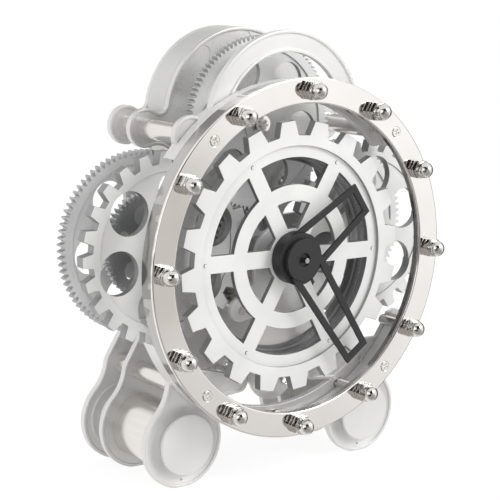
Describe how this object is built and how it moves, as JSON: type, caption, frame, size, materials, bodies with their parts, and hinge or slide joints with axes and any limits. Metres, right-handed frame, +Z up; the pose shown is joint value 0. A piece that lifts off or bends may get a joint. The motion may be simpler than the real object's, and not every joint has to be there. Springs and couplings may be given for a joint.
{
  "type": "mechanical desk clock",
  "caption": "Round open-frame desk clock on two round feet, with a toothed centre wheel, open hands, visible side and top gears and a rear drum housing.",
  "frame": {"origin": "on the ground, centred under the clock's outer box", "axes": "+Z up, the dial faces -Y, +X to the right as seen from the front"},
  "size_m": [0.2466, 0.106, 0.2482],
  "materials": {
    "polished_chrome": "polished, warm reflections",
    "satin_nickel": "satin, turned",
    "silver_paint": "fine silver paint, satin",
    "pale_wheel": "bead-blasted, pale",
    "gear_steel": "fine machined",
    "dark_gear": "fine machined, darker",
    "turned_steel": "turned, satin",
    "black_enamel": "matt black paint",
    "machined_brass": "machined",
    "black_plastic": "moulded, matt",
    "cell_sleeve": "printed film, left plain"
  },
  "bodies": {
    "frame": {"bezel_ring": "polished_chrome", "bezel_band": "satin_nickel", "bezel_nuts": "polished_chrome", "bezel_screws": "polished_chrome", "front_casting": "silver_paint", "mid_plate": "silver_paint", "rear_plate": "silver_paint", "drum_housing": "silver_paint", "cells": "cell_sleeve", "battery_contacts": "polished_chrome", "upper_left_pillar": "satin_nickel", "upper_right_pillar": "satin_nickel", "lower_left_pillar": "satin_nickel", "lower_right_pillar": "satin_nickel", "rear_spacers": "satin_nickel", "front_plate_screws": "polished_chrome", "rear_plate_screws": "polished_chrome", "left_foot_barrel": "satin_nickel", "right_foot_barrel": "satin_nickel", "left_foot_cap": "silver_paint", "right_foot_cap": "silver_paint", "front_bridge": "silver_paint", "bridge_posts": "satin_nickel", "bridge_screws": "polished_chrome", "centre_tube": "turned_steel", "left_stub_arbor": "turned_steel", "right_stub_arbor": "turned_steel", "top_stub_arbor": "turned_steel", "arbor_screws": "polished_chrome", "movement_case": "black_plastic", "movement_cover": "black_plastic", "drive_motor": "turned_steel"},
    "centre_wheel_set": {"centre_wheel": "pale_wheel", "spoked_wheel": "pale_wheel", "spoke_pins": "gear_steel", "drive_pipe": "turned_steel", "top_drive_gear": "gear_steel", "side_drive_gear": "gear_steel"},
    "left_wheel_set": {"left_coarse_wheel": "pale_wheel", "left_small_gear": "dark_gear", "left_fine_gear": "gear_steel", "left_pipe": "turned_steel"},
    "right_wheel_set": {"right_coarse_wheel": "pale_wheel", "right_small_gear": "dark_gear", "right_fine_gear": "gear_steel", "right_pipe": "turned_steel"},
    "top_wheel_set": {"top_fine_gear": "gear_steel", "top_pipe": "turned_steel"},
    "motor_rotor": {"motor_pinion": "machined_brass"},
    "minute_set": {"minute_hand": "black_enamel", "minute_arbor": "turned_steel", "cannon_pinion": "machined_brass"},
    "hour_set": {"hour_hand": "black_enamel", "hour_hub": "black_enamel", "hour_pipe": "turned_steel", "hour_wheel": "machined_brass"},
    "motion_set": {"minute_wheel": "machined_brass", "motion_pinion": "machined_brass", "setting_knob": "black_plastic"},
    "battery_cover": {"battery_door": "silver_paint"}
  },
  "joints": [
    {"name": "centre_wheel_turn", "type": "hinge", "parent": "frame", "child": "centre_wheel_set", "pos_m": [0, 0, 0.12413], "axis": [0, 1, 0], "continuous": true},
    {"name": "left_wheel_turn", "type": "hinge", "parent": "frame", "child": "left_wheel_set", "pos_m": [-0.07025, 0, 0.13114], "axis": [0, 1, 0], "continuous": true},
    {"name": "right_wheel_turn", "type": "hinge", "parent": "frame", "child": "right_wheel_set", "pos_m": [0.07025, 0, 0.13114], "axis": [0, 1, 0], "continuous": true},
    {"name": "top_wheel_turn", "type": "hinge", "parent": "frame", "child": "top_wheel_set", "pos_m": [0, 0, 0.19473], "axis": [0, 1, 0], "continuous": true},
    {"name": "motor_turn", "type": "hinge", "parent": "frame", "child": "motor_rotor", "pos_m": [0, 0, 0.09471], "axis": [0, 1, 0], "continuous": true},
    {"name": "minute_hand_turn", "type": "hinge", "parent": "frame", "child": "minute_set", "pos_m": [0, 0, 0.12413], "axis": [0, 1, 0], "continuous": true},
    {"name": "hour_hand_turn", "type": "hinge", "parent": "frame", "child": "hour_set", "pos_m": [0, 0, 0.12413], "axis": [0, 1, 0], "continuous": true},
    {"name": "setting_knob_turn", "type": "hinge", "parent": "frame", "child": "motion_set", "pos_m": [0, 0, 0.14333], "axis": [0, 1, 0], "continuous": true},
    {"name": "battery_door_pull", "type": "slide", "parent": "frame", "child": "battery_cover", "axis": [0, 1, 0], "range_m": [0, 0.02]}
  ],
  "couplings": [
    {"joint": "left_wheel_turn", "follows": "centre_wheel_turn", "ratio": -0.42857},
    {"joint": "right_wheel_turn", "follows": "centre_wheel_turn", "ratio": -0.42857},
    {"joint": "top_wheel_turn", "follows": "centre_wheel_turn", "ratio": -0.46},
    {"joint": "motor_turn", "follows": "centre_wheel_turn", "ratio": -2.5714},
    {"joint": "setting_knob_turn", "follows": "minute_hand_turn", "ratio": -0.33333},
    {"joint": "hour_hand_turn", "follows": "minute_hand_turn", "ratio": 0.083333}
  ]
}
